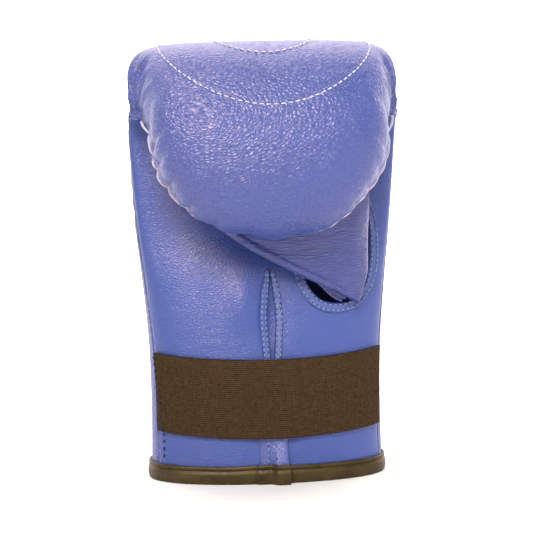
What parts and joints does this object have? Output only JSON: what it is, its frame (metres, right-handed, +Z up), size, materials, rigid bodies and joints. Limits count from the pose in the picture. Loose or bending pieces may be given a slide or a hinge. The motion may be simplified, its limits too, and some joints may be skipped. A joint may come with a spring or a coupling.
{
  "type": "bag glove",
  "caption": "Padded open-thumb bag mitt for the right hand, with curled finger pad, hanging finger panel, wrist elastic and bound cuff.",
  "frame": {"origin": "under the middle of the glove's bounding box, on the surface that it stands on", "axes": "+X to the thumb side, +Y from the palm to the back of the hand, +Z up from the cuff to the knuckles"},
  "size_m": [0.1394, 0.1116, 0.2281],
  "materials": {
    "vinyl": "soft grained vinyl, half gloss",
    "vinyl_palm": "thin fine-grained vinyl, half gloss",
    "hem": "folded vinyl edge, double stitched",
    "elastic": "ribbed woven elastic, matt",
    "binding": "smooth vinyl tape, glossy"
  },
  "bodies": {
    "root": {"back_pad": "vinyl", "finger_pad": "vinyl", "palm_panel": "vinyl_palm", "finger_panel": "vinyl_palm", "thumb_hem": "hem", "slit_hem_left": "hem", "slit_hem_right": "hem", "slit_gusset": "hem", "elastic_band": "elastic", "cuff_binding": "binding"}
  },
  "joints": []
}
